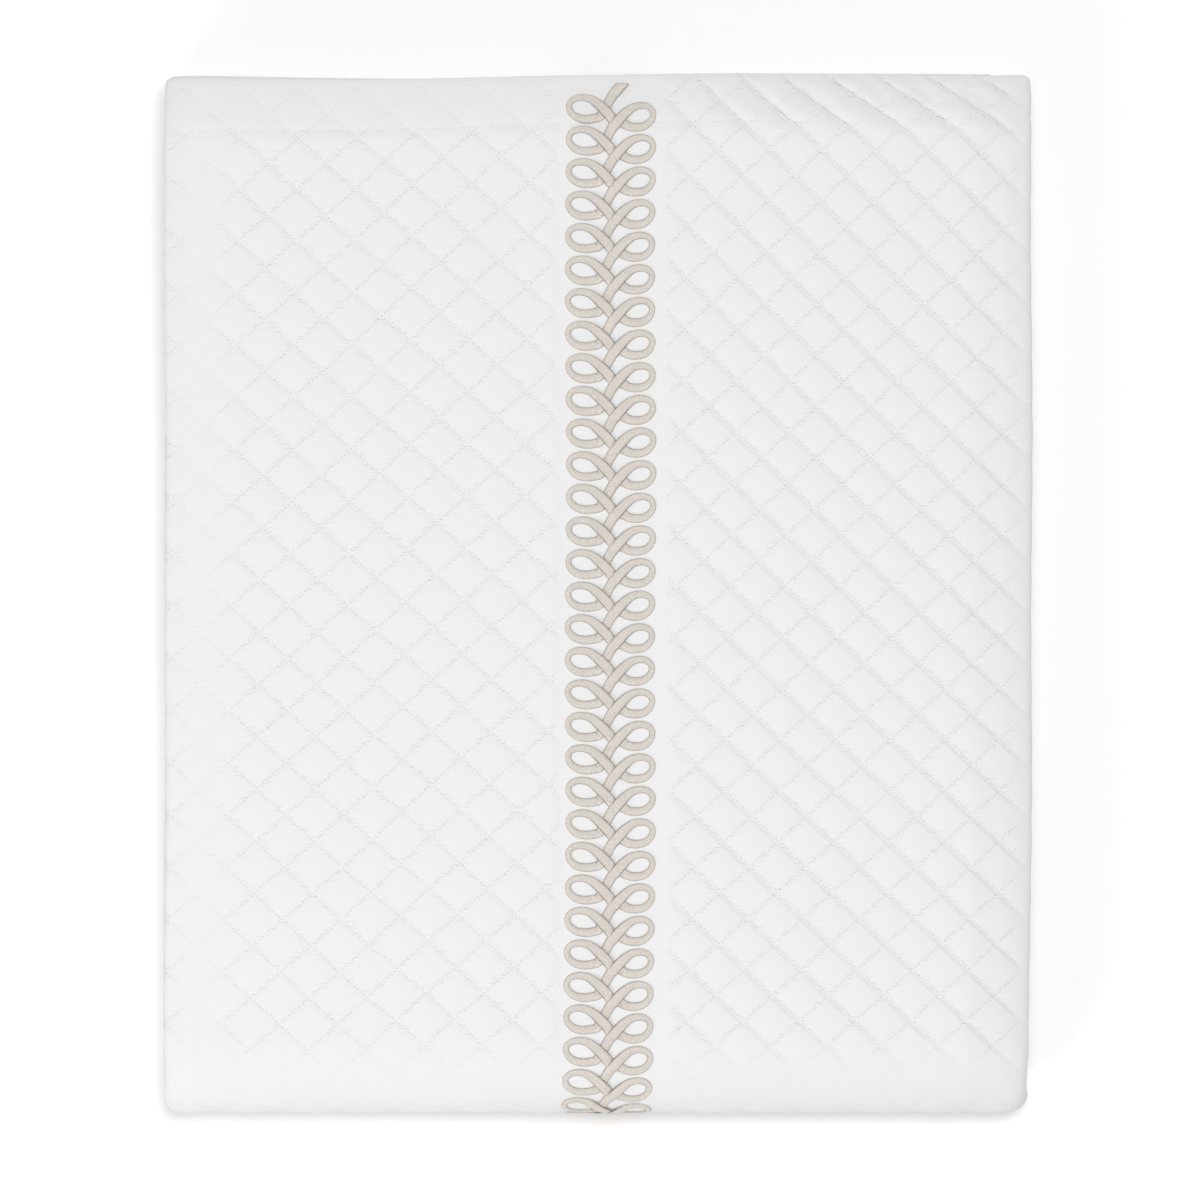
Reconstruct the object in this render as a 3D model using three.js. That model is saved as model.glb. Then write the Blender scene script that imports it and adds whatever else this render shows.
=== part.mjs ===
// Matelasse coverlet, folded into a flat stack of sixteen layers.
// Millimetres, +Z up. The origin is the middle of the stack's box, on its underside.
// The hem of the top run lies at the back, +Y, and the large round fold at the front, -Y.
//
// The cloth is folded twice. Across its width, both side quarters are folded in to the middle and
// the whole is folded in half, which makes a long strip of four layers. Along its length the strip
// is folded in half and in half again. One map carries a flat point of the cloth to its place, so
// the coverlet is one closed sheet, whatever its folds.

import * as THREE from "three";

// Cloth and stack
const CLOTH_THICKNESS = 3.0;
const LAYER_GAP = 0.9;
const STACK_WIDTH = 551;
const STACK_DEPTH = 657;
const RUN_GAP = 1.2;
const HALF_CLOTH = CLOTH_THICKNESS / 2;
const LAYER_PITCH = CLOTH_THICKNESS + LAYER_GAP;
const STRIP_HALF = 1.5 * LAYER_PITCH + HALF_CLOTH;

// Folds across the width: the tight left folds and the wide spine on the right
const TIGHT_FOLD_REACH = LAYER_PITCH / 2;
const SPINE_REACH = 16;
const LEFT_FOLD_X = -STACK_WIDTH / 2 + HALF_CLOTH + TIGHT_FOLD_REACH;
const SPINE_X = STACK_WIDTH / 2 - HALF_CLOTH - SPINE_REACH;
const FREE_EDGE_X = SPINE_X - 8;
const SAME_PLACE = 1e-6;

// Folds along the length: heights of the runs' mid-lines and ends of the runs
const BACK_Y = STACK_DEPTH / 2;
const FRONT_BEND_REACH = 40.7;
const TURN_RADIUS = STRIP_HALF + RUN_GAP / 2;
const RUN_Z = { bottom: STRIP_HALF };
RUN_Z.third = RUN_Z.bottom + 2 * TURN_RADIUS;
RUN_Z.second = RUN_Z.third + 2 * TURN_RADIUS;
RUN_Z.top = RUN_Z.second + 2 * STRIP_HALF + RUN_GAP;
const FRONT_BEND_Y = -STACK_DEPTH / 2 + STRIP_HALF + FRONT_BEND_REACH;
const INNER_BEND_Y = FRONT_BEND_Y - 9;
const BACK_BEND_Y = BACK_Y - STRIP_HALF - TURN_RADIUS - 2;
const SECOND_RUN_END_Y = BACK_Y - 48;

// Quilting: half pitches of the diamonds, first row from the hem, and height of a pillow
const PILLOW_HEIGHT = 1.8;
const PANELS = [
  { bandEdge: -23.5, towards: -1, column: 18.65, firstRow: 50.9, row: 16.45, columns: 13 },
  { bandEdge: 41.3, towards: 1, column: 16.9, firstRow: 47.3, row: 16.45, columns: 12 }
];
const ROWS_BEFORE_FIRST = 2;
const QUILTED_ROWS = 40;

// How the stack settles
const CROWN = 0.055;
const CROWN_FALL = { left: 14, right: 34 };
const CROWN_WAVE = { share: 0.12, perX: 88, perY: 121, start: 0.7 };
const HEM_DROOP = { drop: 12, length: 42, under: 31, over: 46, power: 1.6 };
const HEM_WAVE = { size: 1.1, perZ: 4.6, perX: 95, from: -60, over: 330 };
const CORNER = { length: 9, pull: 3.2, from: 200, over: 120 };
const DRIFT = { size: 1.3, perZ: 7.3, perY: 210 };

// Loop border: one raised strand that makes a loop to the left, then one to the right
const BORDER_X = 8.3;
const BORDER_PITCH = 20.95;
const BORDER_PHASE = -8.9;
const RIGHT_LOOP_RISE = 14.9;
const STRAND = { width: 6.2, height: 1.3, clear: 0.35, lift: 1.6, longStep: 6.5 };
const BORDER_HEM_MARGIN = 5;
const BORDER_END_SHARE = 0.74;
// One loop, from the middle outwards and back: distance out, distance up the border, share of lift
const LOOP = [
  { out: -0.6, up: 0.6, lift: 0.1 },
  { out: 2.2, up: 3.8, lift: 0.85 },
  { out: 5.1, up: 6.9, lift: 1 },
  { out: 8.9, up: 10.5, lift: 0.85 },
  { out: 14.0, up: 14.0, lift: 0.1 },
  { out: 19.7, up: 14.9, lift: 0 },
  { out: 24.8, up: 13.6, lift: 0 },
  { out: 27.4, up: 10.2, lift: 0 },
  { out: 26.3, up: 5.7, lift: 0 },
  { out: 22.2, up: 2.3, lift: 0 },
  { out: 16.8, up: 1.4, lift: 0 },
  { out: 11.4, up: 1.9, lift: 0 },
  { out: 7.3, up: 3.8, lift: 0 }
];

const layerHeight = (layer) => (2.5 - layer) * LAYER_PITCH;
const smooth = (value) => {
  const part = Math.min(1, Math.max(0, value));
  return part * part * (3 - 2 * part);
};

// The folds, one row for each stretch, in the order in which the cloth runs.
// A straight stretch goes from one place to another at one height.
// A fold is half an ellipse around a centre, towards one side, from one height to another.
const ACROSS = [
  { name: "left quarter", height: layerHeight(2), from: FREE_EDGE_X, to: LEFT_FOLD_X },
  { name: "upper left fold", heights: [layerHeight(2), layerHeight(1)], centre: LEFT_FOLD_X,
    side: -1, reach: TIGHT_FOLD_REACH, cells: 4 },
  { name: "face", height: layerHeight(1), from: LEFT_FOLD_X, to: SPINE_X },
  { name: "spine", heights: [layerHeight(1), layerHeight(4)], centre: SPINE_X,
    side: 1, reach: SPINE_REACH, cells: 7 },
  { name: "back", height: layerHeight(4), from: SPINE_X, to: LEFT_FOLD_X },
  { name: "lower left fold", heights: [layerHeight(4), layerHeight(3)], centre: LEFT_FOLD_X,
    side: -1, reach: TIGHT_FOLD_REACH, cells: 4 },
  { name: "right quarter", height: layerHeight(3), from: LEFT_FOLD_X, to: FREE_EDGE_X }
];
const ALONG = [
  { name: "top run", height: RUN_Z.top, from: BACK_Y, to: FRONT_BEND_Y },
  { name: "front bend", heights: [RUN_Z.top, RUN_Z.bottom], centre: FRONT_BEND_Y,
    side: -1, reach: FRONT_BEND_REACH, cells: 8 },
  { name: "bottom run", height: RUN_Z.bottom, from: FRONT_BEND_Y, to: BACK_BEND_Y },
  { name: "back bend", heights: [RUN_Z.bottom, RUN_Z.third], centre: BACK_BEND_Y,
    side: 1, reach: TURN_RADIUS, cells: 6 },
  { name: "third run", height: RUN_Z.third, from: BACK_BEND_Y, to: INNER_BEND_Y },
  { name: "inner bend", heights: [RUN_Z.third, RUN_Z.second], centre: INNER_BEND_Y,
    side: -1, reach: TURN_RADIUS, cells: 6 },
  { name: "second run", height: RUN_Z.second, from: INNER_BEND_Y, to: SECOND_RUN_END_Y }
];
// Places of the few rows and columns that the hidden layers need
const ACROSS_STATIONS = [LEFT_FOLD_X + 11, -110, 100, SPINE_X - 22];
const ALONG_STATIONS = [BACK_Y - 14, BACK_Y - 28, BACK_Y - 42, 120, -90];

// A fold line, which gives the place and height at a length along it.
// quarterTurn is +1 where the good face lies left of the line's direction, and -1 where right.
// Lengths are measured at faceOffset from the line, which is where rows and columns are spaced.
class FoldLine {
  static ARC_SAMPLES = 60;

  constructor(rows, quarterTurn, faceOffset) {
    this.quarterTurn = quarterTurn;
    this.stretches = [];
    let start = 0;
    for (const row of rows) {
      const lengths = [0];
      let previous = this.onStretch(row, 0, faceOffset);
      for (let sample = 1; sample <= FoldLine.ARC_SAMPLES; sample += 1) {
        const next = this.onStretch(row, sample / FoldLine.ARC_SAMPLES, faceOffset);
        const step = Math.hypot(next.place - previous.place, next.height - previous.height);
        lengths.push(lengths[sample - 1] + step);
        previous = next;
      }
      const length = lengths[FoldLine.ARC_SAMPLES];
      this.stretches.push({ row, start, length, lengths });
      start += length;
    }
  }

  // Point at a fraction of one stretch, moved by offset along the line's normal
  onStretch(row, fraction, offset) {
    let place;
    let height;
    let direction;
    if (row.heights) {
      const angle = Math.PI * fraction;
      const rise = (row.heights[0] - row.heights[1]) / 2;
      place = row.centre + row.side * row.reach * Math.sin(angle);
      height = (row.heights[0] + row.heights[1]) / 2 + rise * Math.cos(angle);
      direction = [row.side * row.reach * Math.cos(angle), -rise * Math.sin(angle)];
    } else {
      place = row.from + (row.to - row.from) * fraction;
      height = row.height;
      direction = [row.to - row.from, 0];
    }
    const size = Math.hypot(direction[0], direction[1]);
    const normal = [(-this.quarterTurn * direction[1]) / size, (this.quarterTurn * direction[0]) / size];
    return { place: place + offset * normal[0], height: height + offset * normal[1] };
  }

  at(length, offset) {
    const last = this.stretches[this.stretches.length - 1];
    const found = this.stretches.find((stretch) => length <= stretch.start + stretch.length) ?? last;
    const target = Math.min(Math.max(length - found.start, 0), found.length);
    let sample = 1;
    while (sample < FoldLine.ARC_SAMPLES && found.lengths[sample] < target) {
      sample += 1;
    }
    const before = found.lengths[sample - 1];
    const step = found.lengths[sample] - before;
    const fraction = (sample - 1 + (target - before) / step) / FoldLine.ARC_SAMPLES;
    return this.onStretch(found.row, fraction, offset);
  }

  stretch(name) {
    return this.stretches.find((stretch) => stretch.row.name === name);
  }

  // Length at a place on a straight stretch
  lengthAt(name, place) {
    const { row, start, length } = this.stretch(name);
    return start + (length * (place - row.from)) / (row.to - row.from);
  }

  // The coarse stations: the ends of each stretch, the steps of each fold and the given places
  stations(places) {
    const list = [0];
    for (const { row, start, length } of this.stretches) {
      if (row.heights) {
        for (let cell = 1; cell < row.cells; cell += 1) {
          list.push(start + (length * cell) / row.cells);
        }
      } else {
        const low = Math.min(row.from, row.to);
        const high = Math.max(row.from, row.to);
        const inside = places.filter((place) => place > low && place < high);
        inside.sort((a, b) => (a - b) * Math.sign(row.to - row.from));
        inside.forEach((place) => list.push(this.lengthAt(row.name, place)));
      }
      list.push(start + length);
    }
    return list;
  }
}

const across = new FoldLine(ACROSS, 1, 0);
const along = new FoldLine(ALONG, -1, STRIP_HALF);
const FACE_START = across.stretch("face").start;
const FRONT_END = along.stretch("front bend").start + along.stretch("front bend").length;

// The settled shape: the strips lie a little out of line, the middle stands proud of the edges,
// the hem droops over the shorter run under it and the corners are rounded.
// Each step moves points one way only, so layers never pass through each other.
function settle(point) {
  const { x, y, z } = point;
  const backness = smooth((y - HEM_WAVE.from) / HEM_WAVE.over);
  const shiftedX = x + DRIFT.size * Math.sin(z / DRIFT.perZ + y / DRIFT.perY);
  const edgeLeft = (x + STACK_WIDTH / 2) / CORNER.length;
  const edgeRight = (STACK_WIDTH / 2 - x) / CORNER.length;
  const corner = CORNER.pull * ((1 - smooth(edgeLeft)) ** 2 + (1 - smooth(edgeRight)) ** 2);
  const endness = smooth((Math.abs(y) - CORNER.from) / CORNER.over);
  const hemWave = HEM_WAVE.size * backness * Math.sin(z / HEM_WAVE.perZ + x / HEM_WAVE.perX);
  const shiftedY = y - Math.sign(y) * endness * corner + hemWave;
  const crownLeft = smooth((x + STACK_WIDTH / 2) / CROWN_FALL.left);
  const crownRight = smooth((STACK_WIDTH / 2 - x) / CROWN_FALL.right);
  const wave = Math.sin(x / CROWN_WAVE.perX + CROWN_WAVE.start) * Math.cos(y / CROWN_WAVE.perY);
  const raisedZ = z * (1 + CROWN * crownLeft * crownRight * (1 + CROWN_WAVE.share * wave));
  const beyond = Math.max(0, y - (BACK_Y - HEM_DROOP.length)) / HEM_DROOP.length;
  const hanging = smooth((z - HEM_DROOP.under) / (HEM_DROOP.over - HEM_DROOP.under));
  const drooped = raisedZ - HEM_DROOP.drop * beyond ** HEM_DROOP.power * hanging;
  return new THREE.Vector3(shiftedX, shiftedY, drooped);
}

// Place of the cloth's point at lengths s across and t along it, at an offset from its mid-surface
function clothPoint(s, t, offset) {
  const section = across.at(s, offset);
  const path = along.at(t, section.height);
  return settle(new THREE.Vector3(section.place, path.place, path.height));
}

// Triangles between two lines of vertices, in step with their positions.
// Where the lines have equal counts, slanted(k) says which diagonal cell k takes.
function stitch(first, second, faces, slanted) {
  let i = 0;
  let j = 0;
  const paired = slanted !== undefined;
  while (i < first.length - 1 || j < second.length - 1) {
    let stepFirst;
    if (j === second.length - 1) {
      stepFirst = true;
    } else if (i === first.length - 1) {
      stepFirst = false;
    } else if (paired) {
      stepFirst = i === j ? slanted(i) : i < j;
    } else {
      stepFirst = first[i + 1].at <= second[j + 1].at;
    }
    if (stepFirst) {
      faces.push(first[i].index, first[i + 1].index, second[j].index);
      i += 1;
    } else {
      faces.push(first[i].index, second[j + 1].index, second[j].index);
      j += 1;
    }
  }
}

// A closed mesh from points and triangles, with its faces pointing out
function closedGeometry(points, faces) {
  let volume = 0;
  for (let k = 0; k < faces.length; k += 3) {
    const [a, b, c] = [points[faces[k]], points[faces[k + 1]], points[faces[k + 2]]];
    volume += a.dot(b.clone().cross(c));
  }
  if (volume < 0) {
    faces.reverse();
  }
  const geometry = new THREE.BufferGeometry();
  const coordinates = points.flatMap((point) => point.toArray());
  geometry.setAttribute("position", new THREE.Float32BufferAttribute(coordinates, 3));
  geometry.setIndex(faces);
  geometry.computeVertexNormals();
  return geometry;
}

// Columns of the quilted face: places across it and, for each, its rows and the pillows' heights
function quiltedColumns() {
  const rowsOf = (panel) => {
    const rows = [0];
    for (let row = -ROWS_BEFORE_FIRST; row <= QUILTED_ROWS; row += 1) {
      rows.push(panel.firstRow + row * panel.row);
    }
    rows.push(FRONT_END);
    return rows;
  };
  const columns = [];
  for (const panel of PANELS) {
    const rows = rowsOf(panel);
    const list = [];
    for (let column = 0; column <= panel.columns; column += 1) {
      const heights = rows.map((_, k) => {
        const stitched = (column + k - 1 - ROWS_BEFORE_FIRST) % 2 === 0;
        const inside = column > 0 && k > 0 && k < rows.length - 1;
        return inside && !stitched ? PILLOW_HEIGHT : 0;
      });
      const x = panel.bandEdge + panel.towards * column * panel.column;
      list.push({ x, rows, heights, number: column });
    }
    if (panel.towards < 0) {
      list.reverse();
      columns.unshift({ x: LEFT_FOLD_X, rows, heights: rows.map(() => 0), number: panel.columns + 1 });
    }
    columns.push(...list);
    if (panel.towards > 0) {
      columns.push({ x: SPINE_X, rows, heights: rows.map(() => 0), number: panel.columns + 1 });
    }
  }
  return columns;
}

function coverletGeometry() {
  const points = [];
  const faces = [];
  const vertex = (s, t, offset, at) => {
    points.push(clothPoint(s, t, offset));
    return { index: points.length - 1, at };
  };
  const sStations = across.stations(ACROSS_STATIONS);
  const tStations = along.stations(ALONG_STATIONS);
  const front = tStations.filter((t) => t <= FRONT_END + SAME_PLACE);
  const behind = tStations.filter((t) => t > FRONT_END + SAME_PLACE);
  const face = across.stretch("face");
  const onFace = (s) => s > face.start - SAME_PLACE && s < face.start + face.length + SAME_PLACE;

  // Good face, from the hem to the end of the front bend: fine on the quilted layer
  const upper = [];
  for (const s of sStations.filter((station) => !onFace(station) && station < face.start)) {
    upper.push({ s, fine: false, line: front.map((t) => vertex(s, t, HALF_CLOTH, t)) });
  }
  for (const column of quiltedColumns()) {
    const s = face.start + (column.x - LEFT_FOLD_X);
    const line = column.rows.map((t, k) => vertex(s, t, HALF_CLOTH + column.heights[k], t));
    upper.push({ s, fine: true, line, number: column.number, x: column.x });
  }
  for (const s of sStations.filter((station) => !onFace(station) && station > face.start)) {
    upper.push({ s, fine: false, line: front.map((t) => vertex(s, t, HALF_CLOTH, t)) });
  }
  for (let k = 1; k < upper.length; k += 1) {
    const [left, right] = [upper[k - 1], upper[k]];
    if (left.fine && right.fine) {
      const lower = Math.min(left.number, right.number);
      const outward = left.x < 0 ? 1 : 0;
      stitch(left.line, right.line, faces, (row) => (row + lower + outward) % 2 === 0);
    } else {
      stitch(left.line, right.line, faces);
    }
  }

  // Good face of the hidden runs
  const rest = sStations.map((s) => behind.map((t) => vertex(s, t, HALF_CLOTH, t)));
  const frontEdge = upper.map(({ s, line }) => ({ index: line[line.length - 1].index, at: s }));
  stitch(rest.map((line, k) => ({ index: line[0].index, at: sStations[k] })), frontEdge, faces);
  for (let k = 1; k < rest.length; k += 1) {
    stitch(rest[k - 1], rest[k], faces);
  }

  // Wrong face, coarse all over
  const inner = sStations.map((s) => tStations.map((t) => vertex(s, t, -HALF_CLOTH, t)));
  for (let k = 1; k < inner.length; k += 1) {
    stitch(inner[k], inner[k - 1], faces);
  }

  // The four edges of the cloth
  const lastLine = sStations.length - 1;
  const lastStation = tStations.length - 1;
  const hem = upper.map(({ s, line }) => ({ index: line[0].index, at: s }));
  const innerHem = inner.map((line, k) => ({ index: line[0].index, at: sStations[k] }));
  const end = rest.map((line, k) => ({ index: line[line.length - 1].index, at: sStations[k] }));
  const innerEnd = inner.map((line, k) => ({ index: line[lastStation].index, at: sStations[k] }));
  stitch(hem, innerHem, faces);
  stitch(innerEnd, end, faces);
  stitch(inner[0], [...upper[0].line, ...rest[0]], faces);
  stitch([...upper[upper.length - 1].line, ...rest[lastLine]], inner[lastLine], faces);
  return closedGeometry(points, faces);
}

// Stations of the border's strand, from the hem to the lower part of the front bend
function strandStations() {
  const stations = [];
  const frontBend = along.stretch("front bend");
  const end = frontBend.start + frontBend.length * BORDER_END_SHARE;
  const lengthAtPhase = BACK_Y - BORDER_PHASE;
  const repeats = Math.ceil(STACK_DEPTH / BORDER_PITCH);
  for (let repeat = -repeats; repeat <= repeats; repeat += 1) {
    for (const towards of [-1, 1]) {
      const rise = repeat * BORDER_PITCH + (towards > 0 ? RIGHT_LOOP_RISE : 0);
      for (const row of LOOP) {
        const t = lengthAtPhase - rise - row.up;
        stations.push({ x: BORDER_X + towards * row.out, t, lift: row.lift * STRAND.lift });
      }
    }
  }
  // The strand starts and ends at the first and last stations that lie on the border's stretch
  const onBorder = stations.map(({ t }) => t > BORDER_HEM_MARGIN && t < end);
  const middle = stations.findIndex(({ t }) => Math.abs(t - BACK_Y) < BORDER_PITCH);
  let first = middle;
  while (onBorder[first - 1]) {
    first -= 1;
  }
  let last = middle;
  while (onBorder[last + 1]) {
    last += 1;
  }
  const kept = stations.slice(first, last + 1);
  return kept.flatMap((station, k) => {
    const next = kept[k + 1];
    if (!next || Math.hypot(next.x - station.x, next.t - station.t) < STRAND.longStep) {
      return [station];
    }
    const before = kept[Math.max(0, k - 1)];
    const after = kept[Math.min(kept.length - 1, k + 2)];
    const halfway = (name) => (9 * (station[name] + next[name]) - before[name] - after[name]) / 16;
    return [station, { x: halfway("x"), t: halfway("t"), lift: (station.lift + next.lift) / 2 }];
  });
}

function loopBorderGeometry() {
  const stations = strandStations();
  const points = [];
  const faces = [];
  const faceX = (x) => FACE_START + (x - LEFT_FOLD_X);
  stations.forEach((station, k) => {
    const before = stations[Math.max(0, k - 1)];
    const after = stations[Math.min(stations.length - 1, k + 1)];
    const size = Math.hypot(after.x - before.x, after.t - before.t);
    const sideX = (-(after.t - before.t) / size) * (STRAND.width / 2);
    const sideT = ((after.x - before.x) / size) * (STRAND.width / 2);
    const base = HALF_CLOTH + STRAND.clear + station.lift;
    points.push(clothPoint(faceX(station.x + sideX), station.t + sideT, base));
    points.push(clothPoint(faceX(station.x), station.t, base + STRAND.height));
    points.push(clothPoint(faceX(station.x - sideX), station.t - sideT, base));
  });
  for (let k = 0; k < stations.length - 1; k += 1) {
    for (let side = 0; side < 3; side += 1) {
      const a = 3 * k + side;
      const b = 3 * k + ((side + 1) % 3);
      faces.push(a, b, a + 3, b, b + 3, a + 3);
    }
  }
  const end = 3 * (stations.length - 1);
  faces.push(0, 2, 1, end, end + 1, end + 2);
  return closedGeometry(points, faces);
}

const clothFinish = new THREE.MeshStandardMaterial({ color: 0xf0efee, roughness: 0.95, metalness: 0 });
const threadFinish = new THREE.MeshStandardMaterial({ color: 0xd3ccc5, roughness: 0.7, metalness: 0 });

const coverlet = new THREE.Mesh(coverletGeometry(), clothFinish);
coverlet.name = "coverlet";
const loopBorder = new THREE.Mesh(loopBorderGeometry(), threadFinish);
loopBorder.name = "loop_border";

const foldedCoverlet = new THREE.Group();
foldedCoverlet.add(coverlet, loopBorder);

// The middle of the whole box lies over the origin
const middle = new THREE.Box3().setFromObject(foldedCoverlet).getCenter(new THREE.Vector3());
for (const mesh of [coverlet, loopBorder]) {
  mesh.geometry.translate(-middle.x, -middle.y, 0);
}

export default foldedCoverlet;
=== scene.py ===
"""Folded matelasse coverlet: quilted cotton cloth with a raised looped border in satin stitch.

The cloth is one closed sheet. One map carries a flat point of it, given by its length across and
along, through the folds to its place in the stack. Lengths in the classes are in millimetres.
"""

import logging
from dataclasses import astuple, dataclass, field
from enum import Enum

import bmesh
import bpy
import numpy as np
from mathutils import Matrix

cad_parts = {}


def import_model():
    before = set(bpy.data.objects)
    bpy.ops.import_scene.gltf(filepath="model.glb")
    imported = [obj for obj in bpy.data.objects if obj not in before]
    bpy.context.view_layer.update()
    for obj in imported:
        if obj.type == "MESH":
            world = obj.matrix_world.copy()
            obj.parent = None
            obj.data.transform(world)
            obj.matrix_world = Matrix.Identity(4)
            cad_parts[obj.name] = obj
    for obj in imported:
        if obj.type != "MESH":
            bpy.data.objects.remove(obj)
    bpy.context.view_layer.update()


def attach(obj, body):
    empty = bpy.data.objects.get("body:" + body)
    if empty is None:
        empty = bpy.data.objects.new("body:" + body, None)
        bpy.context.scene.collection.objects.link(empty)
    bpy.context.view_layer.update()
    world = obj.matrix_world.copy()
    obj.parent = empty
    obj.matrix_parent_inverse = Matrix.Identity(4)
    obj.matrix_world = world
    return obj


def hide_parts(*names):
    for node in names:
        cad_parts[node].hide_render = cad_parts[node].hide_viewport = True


log = logging.getLogger("coverlet")
Array = np.ndarray
Material, Mesh, Object = bpy.types.Material, bpy.types.Mesh, bpy.types.Object
Node, Socket, Tree = bpy.types.Node, bpy.types.NodeSocket, bpy.types.NodeTree
MM = 0.001
MATH = "ShaderNodeMath"
RANGE = "ShaderNodeMapRange"
# A wave texture of this scale has one band for each unit of length
ONE_BAND = 0.3142


class Turn(Enum):
    """Which side of a fold line the cloth's good face lies on."""

    LEFT = 1
    RIGHT = -1


def smooth(value: Array) -> Array:
    """Rises smoothly from 0 to 1 as value goes from 0 to 1, by 3v^2 - 2v^3."""
    part = np.clip(value, 0.0, 1.0)
    return part * part * (3.0 - 2.0 * part)


@dataclass(frozen=True)
class Stretch:
    """One stretch of a fold line, straight at one height or half an ellipse between two heights.

    Args:
        name: What the stretch is.
        start: Where a straight stretch starts, or a fold's centre.
        end: Where a straight stretch ends, or a fold's centre.
        height_in: Height at which it starts.
        height_out: Height at which it ends.
        side: 0 on a straight stretch, or the side to which a fold bulges.
        reach: How far a fold bulges past its centre.
        cells: Steps of a fold on the hidden runs.
    """

    name: str
    start: float
    end: float
    height_in: float
    height_out: float
    side: int = 0
    reach: float = 0.0
    cells: int = 1


class FoldLine:
    """A line of straight stretches and folds, measured by length along the cloth's good face."""

    # Points at which each stretch is measured
    SAMPLES = 80

    def __init__(self, stretches: list[Stretch], turn: Turn, face_offset: float) -> None:
        """Measures the line.

        Args:
            stretches: The stretches in their order.
            turn: Side of the line on which the good face lies.
            face_offset: Distance of the measured face from the line.
        """
        self.stretches = stretches
        self.turn = turn.value
        rows = [(s.start, s.end, s.height_in, s.height_out, s.side, s.reach) for s in stretches]
        self.rows = np.array(rows, dtype=float)
        self.parameters = np.linspace(0.0, len(stretches), len(stretches) * self.SAMPLES + 1)
        index = np.minimum(self.parameters.astype(int), len(stretches) - 1)
        place, height, _, _ = self.on_stretch(index, self.parameters - index, face_offset)
        steps = np.hypot(np.diff(place), np.diff(height))
        self.lengths = np.concatenate([[0.0], np.cumsum(steps)])
        self.ends = self.lengths[:: self.SAMPLES]

    def on_stretch(self, index: Array, fraction: Array, offset: Array) -> tuple:
        """Points of stretches, moved along the line's normal.

        A straight stretch runs evenly from start to end. A fold is
        centre + side * reach * sin(angle) against middle height + half the rise * cos(angle).

        Args:
            index: Number of each point's stretch.
            fraction: Share of that stretch that lies before the point.
            offset: Distance along the normal.

        Returns:
            Places, heights and the normal's two parts.
        """
        start, end, low, high, side, reach = np.moveaxis(self.rows[index], -1, 0)
        angle = np.pi * fraction
        rise = (low - high) / 2.0
        folded = side != 0
        place = np.where(folded, start + side * reach * np.sin(angle), start + (end - start) * fraction)
        height = np.where(folded, (low + high) / 2.0 + rise * np.cos(angle), low)
        along = np.where(folded, side * reach * np.cos(angle), end - start)
        up = np.where(folded, -rise * np.sin(angle), 0.0)
        size = np.hypot(along, up)
        normal_place = -self.turn * up / size
        normal_height = self.turn * along / size
        return place + offset * normal_place, height + offset * normal_height, normal_place, normal_height

    def at(self, length: Array, offset: Array) -> tuple:
        """Points at lengths along the line, at an offset from it, as on_stretch gives them."""
        parameter = np.interp(length, self.lengths, self.parameters)
        index = np.minimum(parameter.astype(int), len(self.stretches) - 1)
        return self.on_stretch(index, parameter - index, offset)

    def share(self, length: Array, name: str) -> Array:
        """Share of the named stretch that lies before each length, below 0 or above 1 outside it."""
        number = [s.name for s in self.stretches].index(name)
        return np.interp(length, self.lengths, self.parameters) - number

    def span(self, name: str) -> tuple[float, float]:
        """Lengths at which the named stretch starts and ends."""
        number = [s.name for s in self.stretches].index(name)
        return float(self.ends[number]), float(self.ends[number + 1])

    def coarse(self, step: float, near: tuple[float, ...] = ()) -> Array:
        """Lengths of few stations: every step on straight stretches, and each fold's cells.

        Args:
            step: Distance between stations on straight stretches.
            near: Distances from both ends of a straight stretch at which it has more stations.

        Returns:
            The lengths, sorted.
        """
        stations = [np.zeros(1)]
        for stretch, low, high in zip(self.stretches, self.ends[:-1], self.ends[1:]):
            count = stretch.cells if stretch.side else max(1, round((high - low) / step))
            stations.append(np.linspace(low, high, count + 1)[1:])
            if not stretch.side:
                stations.append(np.array([low + far for far in near] + [high - far for far in near]))
        return np.unique(np.round(np.concatenate(stations), 4))


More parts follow.
